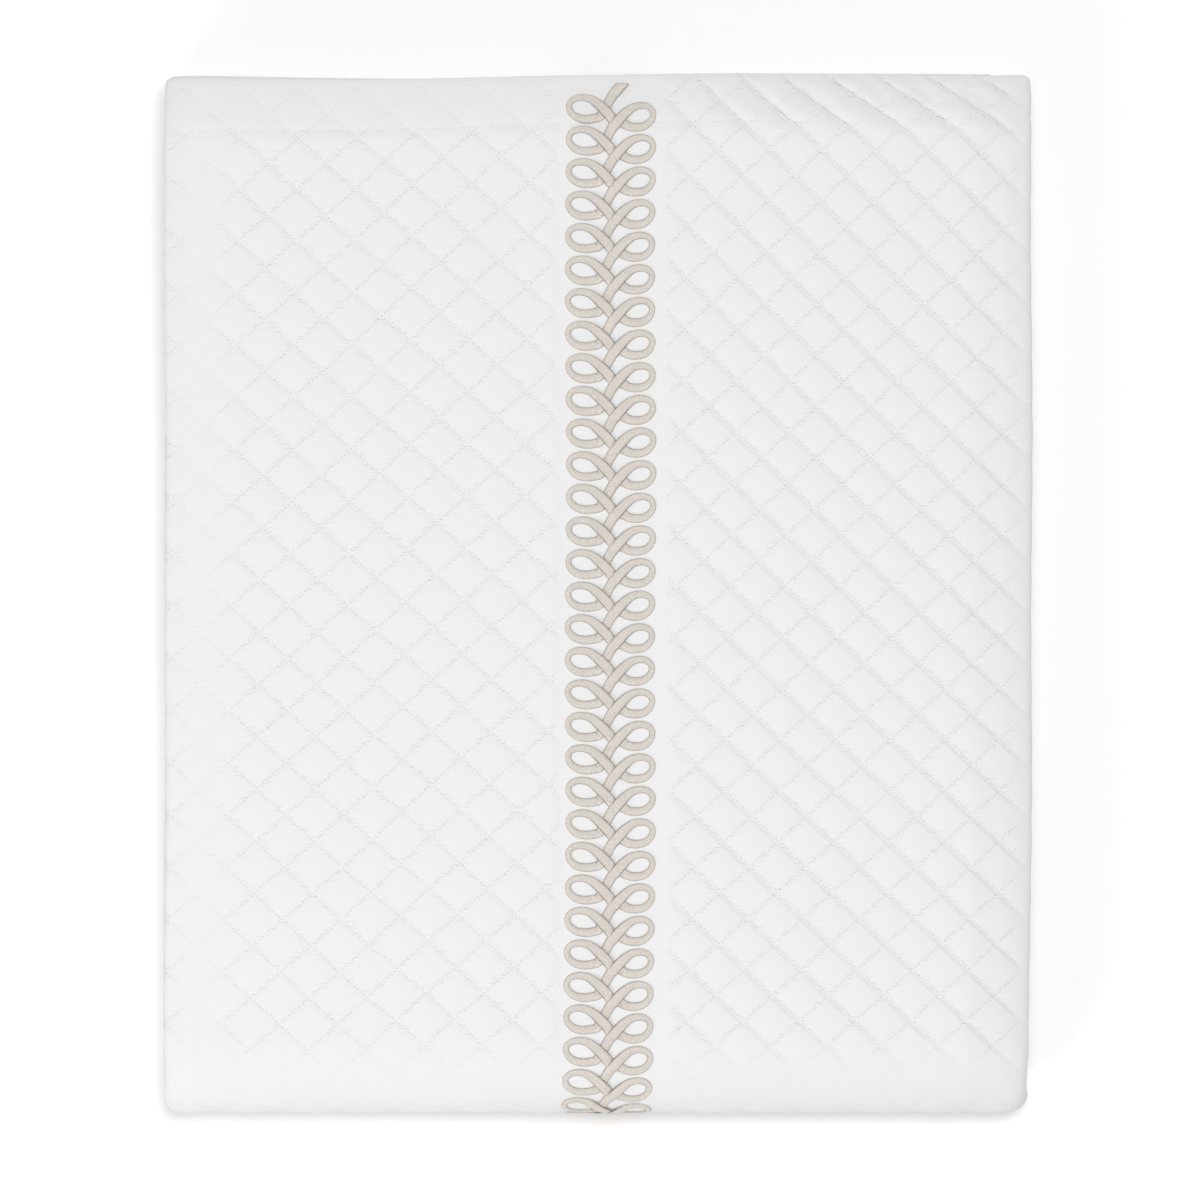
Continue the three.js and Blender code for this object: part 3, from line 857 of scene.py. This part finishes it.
@dataclass
class LoopBorder:
    """The border: one satin-stitched strand that loops to the left and to the right in turn."""

    stack: FoldedStack
    # Place of the middle, and its shift to the right for each millimetre up
    middle_x: float = 8.6
    lean: float = 0.0042
    # Distance from loop to loop on one side, start of the first, and rise and reach of the right ones
    pitch: float = 20.63
    phase: float = -9.4
    right_rise: float = 14.9
    right_share: float = 0.92
    # Height of the strand, how far it rises over itself, its depth in the cloth, and the share of
    # its height that it loses where the stack rests on it
    height: float = 1.1
    lift: float = 1.15
    sunk: float = 0.12
    pressed: float = 0.62
    # Steps from control to control, points round the upper side, and where it ends at the hem
    steps: int = 4
    around: int = 9
    hem_cut: float = 6.0
    # One loop from the middle outwards and back: out, up, share of lift, width of the strand
    loop: tuple = (
        (-0.6, 0.6, 0.10, 6.8),
        (2.2, 3.8, 0.85, 6.9),
        (5.1, 6.9, 1.00, 6.8),
        (8.9, 10.5, 0.85, 6.3),
        (14.0, 14.0, 0.15, 5.4),
        (20.0, 15.2, 0.00, 4.7),
        (25.2, 13.9, 0.00, 4.2),
        (27.8, 10.4, 0.00, 3.9),
        (26.7, 5.9, 0.00, 4.3),
        (22.4, 2.3, 0.00, 5.1),
        (16.8, 1.2, 0.00, 5.6),
        (11.4, 1.8, 0.00, 5.8),
        (7.3, 3.8, 0.00, 6.3),
    )

    def controls(self) -> Array:
        """Points that the strand goes through.

        Returns:
            One row for each, with its place across, length, share of lift and width.
        """
        end = self.stack.along.span("back bend")[1]
        repeats = int(end / self.pitch) + 2
        loop = np.array(self.loop)
        numbers = np.repeat(np.arange(-repeats, repeats), 2)
        towards = np.tile([-1.0, 1.0], 2 * repeats)
        rise = numbers * self.pitch + np.where(towards > 0, self.right_rise, 0.0)
        t = self.stack.back_y - self.phase - rise[:, None] - loop[None, :, 1]
        reach = np.where(towards > 0, self.right_share, -1.0)
        x = self.middle_x + reach[:, None] * loop[None, :, 0] - self.lean * (t - self.stack.back_y)
        lift, width = (np.broadcast_to(loop[:, part], t.shape) for part in (2, 3))
        line = np.stack([x, t, lift, width], axis=-1).reshape(-1, 4)
        inside = (line[:, 1] > self.hem_cut - 3.0) & (line[:, 1] < end)
        middle = int(np.argmin(np.abs(line[:, 1] - self.stack.back_y)))
        outside = np.flatnonzero(~inside)
        first = outside[outside < middle].max() + 1
        last = outside[outside > middle].min()
        return line[first:last]

    def centre_line(self) -> Array:
        """A smooth line through the controls, as a Catmull-Rom curve with even steps.

        Returns:
            Rows like those of the controls.
        """
        control = self.controls()
        before = np.vstack([2 * control[0] - control[1], control[:-2]])
        start, end = control[:-1], control[1:]
        after = np.vstack([control[2:], 2 * control[-1] - control[-2]])
        u = (np.arange(self.steps) / self.steps)[None, :, None]
        a, b, c, d = (value[:, None, :] for value in (before, start, end, after))
        line = 0.5 * (2 * b + (c - a) * u + (2 * a - 5 * b + 4 * c - d) * u**2
                      + (3 * b - a - 3 * c + d) * u**3)
        return np.vstack([line.reshape(-1, 4), control[-1:]])

    def build(self) -> Object:
        """Sweeps a half-round section along the line, closed at the bottom and at both ends.

        Returns:
            The strand's mesh object.
        """
        line = self.centre_line()
        x, t, lift, width = line.T
        lift = np.clip(lift, 0.0, 1.0)
        direction = np.gradient(line[:, :2], axis=0)
        size = np.hypot(direction[:, 0], direction[:, 1])
        side = np.stack([-direction[:, 1], direction[:, 0]], axis=-1) / size[:, None]
        run = np.concatenate([[0.0], np.cumsum(np.hypot(np.diff(x), np.diff(t)))])
        angle = np.linspace(0.0, np.pi, self.around)
        across = np.concatenate([np.cos(angle), [-0.5, 0.5]])
        up = np.concatenate([np.sin(angle) ** 0.55, [0.0, 0.0]])
        reach = across[None, :] * (width / 2.0)[:, None]
        left = 1.0 - self.pressed * self.stack.resting(t)
        base = self.stack.half - self.stack.recess(x, t) - self.sunk + left * self.lift * lift
        px = x[:, None] + side[:, None, 0] * reach
        pt = t[:, None] + side[:, None, 1] * reach
        offset = base[:, None] + (left * self.height)[:, None] * up[None, :]
        places = self.stack.place(self.stack.face_s(px), np.maximum(pt, self.hem_cut), offset)
        # The map's first number is 10 mm at the strand's edges, whatever its width
        flat = np.stack(np.broadcast_arrays(10.0 * across, run[:, None]), axis=-1)
        builder = MeshBuilder()
        numbers = builder.points(places, flat)
        builder.grid(np.column_stack([numbers, numbers[:, :1]]))
        for end in (0, -1):
            builder.fan(numbers[end])
        strand = builder.build("loop_border_strand", "strand")
        over = np.repeat(lift, len(across))
        point_values(strand.data, "over", np.column_stack([over, over, over]))
        return strand


def linear(hex_colour: str) -> tuple[float, float, float, float]:
    """Linear colour from an sRGB hex value such as F0EFEE.

    Args:
        hex_colour: Two hex digits each for red, green and blue.

    Returns:
        Red, green, blue and full opacity.
    """
    channels = np.array([int(hex_colour[k:k + 2], 16) for k in (0, 2, 4)]) / 255.0
    low = channels / 12.92
    high = ((channels + 0.055) / 1.055) ** 2.4
    red, green, blue = np.where(channels <= 0.04045, low, high)
    return float(red), float(green), float(blue), 1.0


def feed(node: Node, inputs: dict | tuple) -> None:
    """Gives a node's inputs their values and links.

    Args:
        node: The node.
        inputs: By name or in their order, a value, a socket or a node whose first output is used.
    """
    named = inputs if isinstance(inputs, dict) else dict(enumerate(inputs))
    for key, value in named.items():
        source = value.outputs[0] if isinstance(value, Node) else value
        if isinstance(source, Socket):
            node.id_data.links.new(source, node.inputs[key])
        else:
            node.inputs[key].default_value = source


def add_node(tree: Tree, kind: str, inputs: dict | tuple = (), **settings: object) -> Node:
    """Adds a node to a material.

    Args:
        tree: The material's node tree.
        kind: The node's type name.
        inputs: What its inputs get, as feed takes it.
        settings: The node's own properties.

    Returns:
        The new node.
    """
    node = tree.nodes.new(kind)
    for name, value in settings.items():
        setattr(node, name, value)
    feed(node, inputs)
    return node


def new_material(name: str) -> tuple[Material, Tree, Node]:
    """Starts a material.

    Args:
        name: The material's name.

    Returns:
        The material, its node tree and its Principled shader.
    """
    material = bpy.data.materials.new(name)
    material.use_nodes = True
    tree = material.node_tree
    return material, tree, tree.nodes["Principled BSDF"]


@dataclass(frozen=True)
class MatelasseFinish:
    """White mercerised cotton sateen, quilted through both cloths with white cotton thread."""

    # Nearly neutral greys, so the coverlet reads as bleached white in full light
    cloth: str = "E7E7E7"
    # Painted shade: this grey darkens the cloth in the grooves, in the needle holes and along the slubs
    groove: str = "D2D1D0"
    # Painted highlight: this white lightens the raised stitches of the lines and hem, and the edge of
    # each line that falls to the right
    stitch: str = "F6F6F6"
    # Washed cotton is matt with hardly any gloss, and its faint sheen softens the outline
    roughness: float = 0.9
    specular: float = 0.2
    sheen: float = 0.05
    # Stitch lines: spacing, half widths, and stitches counted from crossing to crossing
    line_spacing: float = 24.8
    groove_half_width: float = 1.1
    stitches_per_line: float = 9.0
    stitch_half_width: float = 0.45
    hem_stitch: float = 2.9
    # The soft tuck lies beside its line, by a share of the spacing
    tuck_shift: float = 0.035
    tuck_width: float = 2.7
    tuck_depth: float = 0.4
    # Real threads are about 0.4 mm apart and too fine to show, so they are drawn at 1.3 mm
    weave_pitch: float = 1.3

    def make(self) -> Material:
        """Builds the material: stitches, holes, tucks and slubs over a fine weave, with painted shade and
        highlight.

        Returns:
            The material.
        """
        material, tree, shader = new_material("quilted_cotton")
        flat = add_node(tree, "ShaderNodeUVMap", uv_map="flat")
        lattice, family, hem = (self.point_parts(tree, name) for name in ("lattice", "families", "hem"))
        beside, grooves, stitches, holes = 0.5 * self.line_spacing, [], [], []
        for own, other in (("X", "Y"), ("Y", "X")):
            distance = self.from_line(tree, lattice[own])
            count = add_node(tree, MATH, (lattice[other], self.stitches_per_line), operation="MULTIPLY")
            on_line = self.fade(tree, distance, 0.5 * self.stitch_half_width,
                                1.6 * self.stitch_half_width, family[own])
            stitch, hole = self.dashes(tree, count, on_line)
            stitches.append(stitch)
            holes.append(hole)
            grooves.append(self.fade(tree, distance, 0.1, self.groove_half_width, family[own]))
            beside = add_node(tree, MATH, (beside, distance), operation="MINIMUM")
        hem_distance = add_node(tree, MATH, (hem["X"],), operation="ABSOLUTE")
        hem_count = add_node(tree, MATH, (hem["Y"], self.hem_stitch), operation="DIVIDE")
        hem_parts = self.dashes(tree, hem_count, self.fade(tree, hem_distance, 0.2, 0.8, hem["Z"]))
        groove, stitch, hole = (
            add_node(tree, MATH, tuple(pair), operation="MAXIMUM") for pair in (grooves, stitches, holes))

        # Thread tension varies from stitch to stitch
        tension = add_node(tree, "ShaderNodeTexNoise", {
            "Vector": flat, "Scale": 260.0, "Detail": 2.0, "Roughness": 0.7}).outputs["Fac"]
        tension = add_node(tree, MATH, (tension, 2.4, -0.72), operation="MULTIPLY_ADD")
        tension = add_node(tree, MATH, (tension, 1.0), operation="MINIMUM")
        stitch, hole = (
            add_node(tree, MATH, (add_node(tree, MATH, pair, operation="MAXIMUM"), tension),
                     operation="MULTIPLY") for pair in zip((stitch, hole), hem_parts))
        tuck, edge = self.tuck(tree, lattice["Y"], family["Z"])
        slubs = self.slubs(tree, flat, self.fade(tree, beside, 0.8, 6.0, lattice["Z"]))

        height, painted_shade = self.weave(tree, flat), 0.0
        for part, raised in ((groove, -0.30), (stitch, 0.32), (hole, -0.11), (tuck, -self.tuck_depth),
                             (slubs, 0.22)):
            height = add_node(tree, MATH, (part, raised, height), operation="MULTIPLY_ADD")
        # Painted shade: darker in the grooves, in the needle holes of the lines and hem, and along the
        # slubs
        for part, weight in ((groove, 0.08), (hole, 0.13), (slubs, 0.14)):
            painted_shade = add_node(tree, MATH, (part, weight, painted_shade), operation="MULTIPLY_ADD")
        bump = add_node(tree, "ShaderNodeBump", {
            "Strength": 1.0, "Distance": 1.0 * MM, "Height": height})
        # Painted highlight on the stitches and along the edges of the lines that fall to the right
        pale = add_node(tree, MATH, (edge, 0.4), operation="MULTIPLY")
        pale = add_node(tree, MATH, (stitch, pale), operation="MAXIMUM")
        colour = linear(self.cloth)
        for factor, over in ((painted_shade, self.groove),
                             (add_node(tree, MATH, (pale, 0.6), operation="MULTIPLY"), self.stitch)):
            colour = add_node(tree, "ShaderNodeMix", {
                "Factor": factor, "A": colour, "B": linear(over)}, data_type="RGBA").outputs["Result"]
        feed(shader, {
            "Base Color": colour, "Normal": bump, "Roughness": self.roughness,
            "Specular IOR Level": self.specular, "Sheen Weight": self.sheen, "Sheen Roughness": 0.5})
        return material

    def point_parts(self, tree: Tree, name: str) -> bpy.types.bpy_prop_collection:
        """The three numbers, X, Y and Z, that the mesh stores at each point under a name."""
        stored = add_node(tree, "ShaderNodeAttribute", attribute_name=name)
        return add_node(tree, "ShaderNodeSeparateXYZ", (stored.outputs["Vector"],)).outputs

    def from_line(self, tree: Tree, coordinate: Socket) -> Node:
        """Distance from the nearest stitch line, whose lattice coordinate is a whole number."""
        away = add_node(tree, MATH, (coordinate, 0.5), operation="PINGPONG")
        return add_node(tree, MATH, (away, self.line_spacing), operation="MULTIPLY")

    def fade(self, tree: Tree, distance: Node, inner: float, outer: float, share: Socket) -> Node:
        """A share that stands up to a distance and softly goes out.

        Args:
            tree: The material's node tree.
            distance: The distance.
            inner: Distance up to which the whole share stands.
            outer: Distance from which nothing is left.
            share: The share.

        Returns:
            The node that gives it.
        """
        near = add_node(tree, RANGE, (distance, inner, outer, 1.0, 0.0), interpolation_type="SMOOTHSTEP")
        return add_node(tree, MATH, (near, share), operation="MULTIPLY")

    def dashes(self, tree: Tree, count: Node, on_line: Node) -> tuple[Node, Node]:
        """Stitches and the needle holes between them.

        Args:
            tree: The material's node tree.
            count: Count of stitches along the line.
            on_line: Share by which a point lies on the line.

        Returns:
            Shares of a stitch and of a hole.
        """
        dash = add_node(tree, MATH, (count, 0.5), operation="PINGPONG")
        gap = add_node(tree, RANGE, (dash, 0.12, 0.24), interpolation_type="SMOOTHSTEP")
        stitch = add_node(tree, MATH, (gap, on_line), operation="MULTIPLY")
        return stitch, self.fade(tree, dash, 0.04, 0.13, on_line)

    def tuck(self, tree: Tree, second: Socket, share: Socket) -> list[Node]:
        """The soft tuck below each line that falls to the right, and a painted highlight along the line's
        edge.

        Args:
            tree: The material's node tree.
            second: Lattice coordinate of that family.
            share: Share by which it is tucked.

        Returns:
            Shares of the tuck and of the edge's painted highlight.
        """
        parts = []
        for shift, inner, outer in ((self.tuck_shift, 0.2, self.tuck_width), (-0.02, 0.15, 0.7)):
            moved = add_node(tree, MATH, (second, shift), operation="ADD")
            parts.append(self.fade(tree, self.from_line(tree, moved), inner, outer, share))
        return parts

    def slubs(self, tree: Tree, flat: Node, share: Node) -> Node:
        """Thin threads across, raised where the stitches pull the cloth.

        Args:
            tree: The material's node tree.
            flat: Flat coordinates of the cloth.
            share: Share by which they are raised.

        Returns:
            Share of a slub.
        """
        stretched = add_node(tree, "ShaderNodeVectorMath", (flat, (130.0, 620.0, 1.0)),
                             operation="MULTIPLY")
        noise = add_node(tree, "ShaderNodeTexNoise", {
            "Vector": stretched, "Scale": 1.0, "Detail": 1.0}).outputs["Fac"]
        picked = add_node(tree, RANGE, (noise, 0.5, 0.72))
        return add_node(tree, MATH, (picked, share), operation="MULTIPLY")

    def weave(self, tree: Tree, flat: Node) -> Node:
        """The weave and the soft crumple of washed cotton.

        Args:
            tree: The material's node tree.
            flat: Flat coordinates of the cloth.

        Returns:
            Height of both.
        """
        noise = add_node(tree, "ShaderNodeTexNoise", {
            "Vector": flat, "Scale": 110.0, "Detail": 3.0, "Roughness": 0.6}).outputs["Fac"]
        height = add_node(tree, MATH, (noise, 0.4), operation="MULTIPLY")
        for direction in ("X", "Y"):
            thread = add_node(tree, "ShaderNodeTexWave", {
                "Vector": flat, "Scale": ONE_BAND / (self.weave_pitch * MM), "Distortion": 1.2,
                "Detail": 1.0, "Detail Scale": 2.0}, bands_direction=direction).outputs["Fac"]
            height = add_node(tree, MATH, (thread, 0.03, height), operation="MULTIPLY_ADD")
        return height


@dataclass(frozen=True)
class SatinStitchFinish:
    """Rayon embroidery thread in dense satin stitch, side by side across the strand."""

    # A warm pale grey that stands out softly from the white cloth, with painted shade towards the
    # strand's rims and between its threads, and a painted shadow line at the rims where it rises over a
    # loop
    thread: str = "EFE7DE"
    edge: str = "B7AEA5"
    # Painted shadow: a dark line along the rims where the strand rises over a loop
    tuck: str = "6F645B"
    # Rayon is glossier than the cotton, so the round strand catches a soft highlight
    roughness: float = 0.6
    specular: float = 0.35
    sheen: float = 0.1
    # Share of the edge's colour between threads, painted shade in the gaps
    painted_gap_shade: float = 0.63
    # Real threads are about 0.4 mm apart and are drawn at 1.25 mm, so that they show
    thread_pitch: float = 1.25

    def make(self) -> Material:
        """Builds the material: threads across the strand, with painted shade to its edges, between
        threads and where it crosses a loop.

        Returns:
            The material.
        """
        material, tree, shader = new_material("satin_stitch")
        flat = add_node(tree, "ShaderNodeUVMap", uv_map="strand")
        across = add_node(tree, "ShaderNodeSeparateXYZ", (flat,)).outputs["X"]
        over = add_node(tree, "ShaderNodeAttribute", attribute_name="over").outputs["Fac"]
        ridge = add_node(tree, "ShaderNodeTexWave", {
            "Vector": flat, "Scale": ONE_BAND / (self.thread_pitch * MM), "Distortion": 2.2,
            "Detail": 2.0, "Detail Scale": 1.5}, bands_direction="Y").outputs["Fac"]
        patches = add_node(tree, "ShaderNodeTexNoise", {
            "Vector": flat, "Scale": 85.0, "Detail": 2.0}).outputs["Fac"]
        out = add_node(tree, MATH, (across, 100.0), operation="MULTIPLY")
        out = add_node(tree, MATH, (out,), operation="ABSOLUTE")
        # Painted shade: darker towards the strand's rims, and in the gaps between threads
        rim = add_node(tree, RANGE, (out, 0.55, 1.0, 0.0, 0.55), interpolation_type="SMOOTHSTEP")
        gap = add_node(tree, MATH, (1.0, ridge), operation="SUBTRACT")
        gap = add_node(tree, MATH, (gap, self.painted_gap_shade), operation="MULTIPLY")
        shade = add_node(tree, MATH, (gap, patches, rim), operation="MULTIPLY_ADD")
        shade = add_node(tree, MATH, (shade, 1.0), operation="MINIMUM")
        # Painted shadow line along the rims where the strand rises over itself
        raised = add_node(tree, MATH, (over, 3.0), operation="POWER")
        raised = add_node(tree, MATH, (raised, 0.8), operation="MULTIPLY")
        under = add_node(tree, MATH, (add_node(tree, RANGE, (out, 0.86, 0.97)), raised),
                         operation="MULTIPLY")
        colour = linear(self.thread)
        for factor, darker in ((shade, self.edge), (under, self.tuck)):
            colour = add_node(tree, "ShaderNodeMix", {
                "Factor": factor, "A": colour, "B": linear(darker)}, data_type="RGBA").outputs["Result"]
        bump = add_node(tree, "ShaderNodeBump", {
            "Strength": 0.9, "Distance": 0.5 * MM, "Height": ridge})
        feed(shader, {
            "Base Color": colour, "Normal": bump, "Roughness": self.roughness,
            "Specular IOR Level": self.specular, "Sheen Weight": self.sheen})
        return material


@dataclass(frozen=True)
class TableFinish:
    """Plain white uncoated paper, rolled out on the table under the stack."""

    # Almost pure white and quite matt, so it goes out to plain white around the soft shadow
    colour: str = "FDFDFD"
    roughness: float = 0.9
    specular: float = 0.1
    glow: float = 0.01

    def make(self) -> Material:
        """Builds the material.

        Returns:
            The material.
        """
        material, _, shader = new_material("white_paper")
        feed(shader, {
            "Base Color": linear(self.colour), "Roughness": self.roughness,
            "Specular IOR Level": self.specular, "Emission Color": (1.0, 1.0, 1.0, 1.0),
            "Emission Strength": self.glow})
        return material


@dataclass
class Studio:
    """White floor, soft light from overhead and the low left, and a long lens straight above."""

    # The camera's height over the stack's top, and the width of the picture there
    view_height: float = 5000.0
    frame_width: float = 761.5
    view_x: float = 1.6
    view_y: float = -3.2
    top: float = 66.0
    sensor: float = 36.0
    floor_half: float = 6000.0
    surround: float = 0.46

    def floor(self, finish: Material) -> None:
        """Lays the floor, a wide square.

        Args:
            finish: Its material.
        """
        side = self.floor_half * MM
        corners = [(-side, -side, 0.0), (side, -side, 0.0), (side, side, 0.0), (-side, side, 0.0)]
        mesh = bpy.data.meshes.new("floor")
        mesh.from_pydata(corners, [], [(0, 1, 2, 3)])
        mesh.materials.append(finish)
        obj = bpy.data.objects.new("floor", mesh)
        bpy.context.scene.collection.objects.link(obj)

    def lights(self) -> None:
        """Hangs a wide soft light overhead and a small one low down, in a pale surrounding."""
        world = bpy.data.worlds.new("studio")
        world.use_nodes = True
        background = world.node_tree.nodes["Background"]
        feed(background, {"Color": (1.0, 1.0, 1.0, 1.0), "Strength": self.surround})
        bpy.context.scene.world = world
        self.light("overhead", (0.4, 0.8, 5.5), 1.9, 161.5)
        self.light("low_fill", (-1.2, -1.75, 1.2), 0.9, 14.5)

    def light(self, name: str, place: tuple[float, float, float], size: float,
              energy: float) -> None:
        """Hangs one square light that faces the stack.

        Args:
            name: Its name.
            place: Its place, in metres.
            size: Its side, in metres.
            energy: Its power, in watts.
        """
        data = bpy.data.lights.new(name, "AREA")
        data.size = size
        data.energy = energy
        obj = bpy.data.objects.new(name, data)
        obj.location = place
        obj.rotation_mode = "QUATERNION"
        obj.rotation_quaternion = (-obj.location).to_track_quat("-Z", "Y")
        bpy.context.scene.collection.objects.link(obj)

    def camera(self) -> None:
        """Sets the camera straight above, with a lens that gives the frame's width at the top."""
        data = bpy.data.cameras.new("camera")
        data.sensor_width = self.sensor
        data.lens = self.sensor * self.view_height / self.frame_width
        data.clip_end = 20.0
        obj = bpy.data.objects.new("camera", data)
        obj.location = (self.view_x * MM, self.view_y * MM, (self.view_height + self.top) * MM)
        bpy.context.scene.collection.objects.link(obj)
        bpy.context.scene.camera = obj
        bpy.context.scene.view_settings.view_transform = "Standard"
        bpy.context.scene.view_settings.look = "None"


# Creases on the top run: troughs and ridges of the drooping hem band on the right,
# then the faint ones of the panels
CREASES = [
    Crease(x=176.0, y=320.0, angle=-48.0, length=14.0, width=5.0, depth=-2.8),
    Crease(x=207.0, y=319.5, angle=-42.0, length=16.0, width=5.0, depth=-3.4),
    Crease(x=243.0, y=316.0, angle=-28.0, length=20.0, width=5.5, depth=-2.8),
    Crease(x=190.0, y=322.0, angle=-45.0, length=16.0, width=7.0, depth=1.2),
    Crease(x=226.0, y=320.0, angle=-38.0, length=18.0, width=7.0, depth=1.2),
    Crease(x=140.0, y=316.0, angle=-35.0, length=18.0, width=6.0, depth=-1.0),
    Crease(x=90.0, y=318.0, angle=-35.0, length=22.0, width=7.0, depth=-0.6),
    Crease(x=-170.0, y=-153.0, angle=2.0, length=70.0, width=4.0, depth=-0.4),
    Crease(x=-168.0, y=-188.0, angle=65.0, length=16.0, width=4.0, depth=0.5),
    Crease(x=-68.0, y=-245.0, angle=70.0, length=24.0, width=5.0, depth=0.4),
]


def main() -> None:
    logging.basicConfig(level=logging.INFO, format="%(name)s: %(message)s")
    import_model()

    studio = Studio()
    studio.camera()
    studio.lights()
    studio.floor(TableFinish().make())

    stack = FoldedStack()
    quilting = Quilting(
        left=Panel(node_x=-196.0, node_t=337.0, across=37.0, down=33.2, lean=0.0225),
        right=Panel(node_x=83.9, node_t=324.5, across=34.5, down=32.45, lean=0.034, fan=0.004),
    )
    cloth = CoverletCloth(stack, quilting, CREASES).build()
    cloth.data.materials.append(MatelasseFinish().make())
    log.info("coverlet_cloth: %d points", len(cloth.data.vertices))

    border = LoopBorder(stack).build()
    border.data.materials.append(SatinStitchFinish().make())
    log.info("loop_border_strand: %d points", len(border.data.vertices))

    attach(cloth, "root")
    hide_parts("coverlet")
    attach(border, "root")
    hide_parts("loop_border")


if __name__ == "__main__":
    main()
